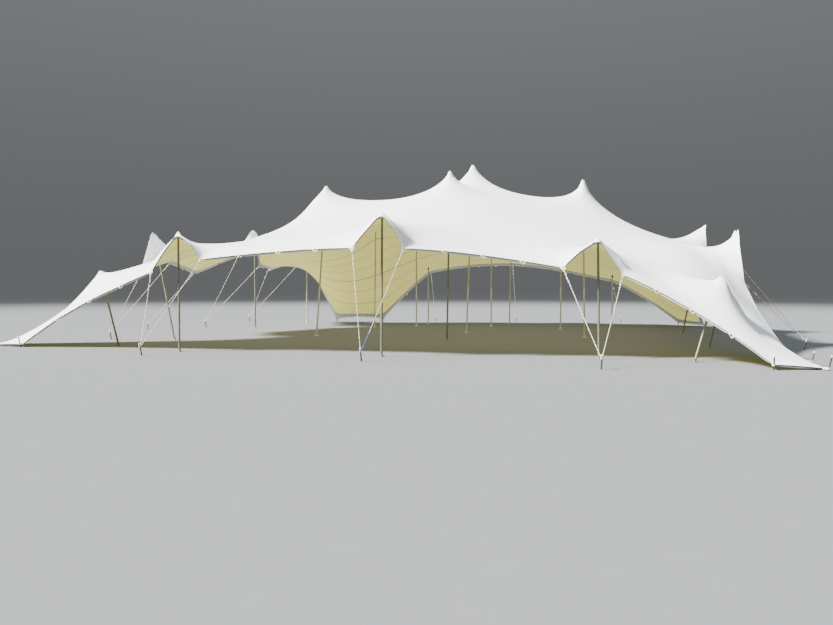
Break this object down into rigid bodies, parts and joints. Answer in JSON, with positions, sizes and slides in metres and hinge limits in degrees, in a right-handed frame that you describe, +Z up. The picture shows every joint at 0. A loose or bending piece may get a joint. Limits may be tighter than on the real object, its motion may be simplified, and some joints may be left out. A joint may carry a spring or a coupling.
{
  "type": "stretch tent",
  "caption": "Freeform stretch tent: one elastic white sheet pushed up by inner and edge poles, its hem tied down by rope guys and stakes.",
  "frame": {"origin": "on the ground under the middle of the tent's box, guys and stakes included", "axes": "+X along the open front from left to right as seen from the front, +Y from the front to the back, +Z up"},
  "size_m": [20.6302, 18.9954, 5.492],
  "materials": {
    "fabric": "elastic knitted fabric with a matt waterproof face, ivory white outside and cream inside",
    "pole": "galvanised round tube, dull grey",
    "stake": "dark bare steel bar with a pale cap",
    "rope": "off-white braided polyester rope"
  },
  "bodies": {
    "root": {"back_left_guy_rope": "rope", "back_left_pole": "pole", "back_left_stake": "stake", "back_mid_left_guy_rope": "rope", "back_mid_left_pole": "pole", "back_mid_left_stake": "stake", "back_mid_right_guy_rope": "rope", "back_mid_right_pole": "pole", "back_mid_right_stake": "stake", "back_right_guy_rope": "rope", "back_right_pole": "pole", "back_right_stake": "stake", "back_wall_left_stake": "stake", "back_wall_right_stake": "stake", "canopy_strip_1": "fabric", "canopy_strip_2": "fabric", "canopy_strip_3": "fabric", "canopy_strip_4": "fabric", "canopy_strip_5": "fabric", "canopy_strip_6": "fabric", "centre_main_pole": "pole", "front_centre_guy_rope": "rope", "front_centre_pole": "pole", "front_centre_stake": "stake", "front_left_guy_rope": "rope", "front_left_pole": "pole", "front_left_stake": "stake", "front_main_pole": "pole", "front_right_guy_rope": "rope", "front_right_pole": "pole", "front_right_stake": "stake", "left_corner_pole": "pole", "left_corner_stake": "stake", "left_front_stake": "stake", "left_main_pole": "pole", "left_side_front_guy_rope": "rope", "left_side_front_pole": "pole", "left_side_front_stake": "stake", "left_side_middle_guy_rope": "rope", "left_side_middle_stake": "stake", "left_side_rear_guy_rope": "rope", "left_side_rear_pole": "pole", "left_side_rear_stake": "stake", "rear_left_pole": "pole", "rear_mid_left_pole": "pole", "rear_mid_right_pole": "pole", "rear_right_pole": "pole", "right_back_corner_stake": "stake", "right_back_stake": "stake", "right_corner_pole": "pole", "right_corner_stake": "stake", "right_flank_stake": "stake", "right_front_stake": "stake", "right_main_pole": "pole", "right_side_front_guy_rope": "rope", "right_side_front_pole": "pole", "right_side_front_stake": "stake", "right_side_rear_guy_rope": "rope", "right_side_rear_pole": "pole", "right_side_rear_stake": "stake"}
  },
  "joints": []
}
